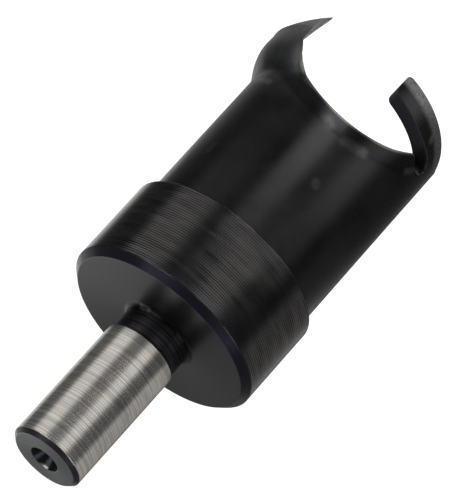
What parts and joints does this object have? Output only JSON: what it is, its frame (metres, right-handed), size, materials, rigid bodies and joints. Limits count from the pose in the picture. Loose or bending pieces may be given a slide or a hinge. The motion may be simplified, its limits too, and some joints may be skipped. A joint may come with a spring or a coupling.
{
  "type": "tenon cutter",
  "caption": "One-piece barrel cutter with a round ground shank, a collar and a hollow barrel whose open end is cut into hooked claws, for cutting round tenons in wood.",
  "frame": {"origin": "on the tool's axis, in the plane of the claws' points", "axes": "+Z along the axis towards the shank's end, -Y towards the side of the gullet that the picture shows, +X towards the claw that is bowed outward"},
  "size_m": [0.0355, 0.0346, 0.0874],
  "materials": {
    "blackened_steel": "black oxide on turned steel, with the shank ground bright"
  },
  "bodies": {
    "root": {"tenon_cutter": "blackened_steel"}
  },
  "joints": []
}
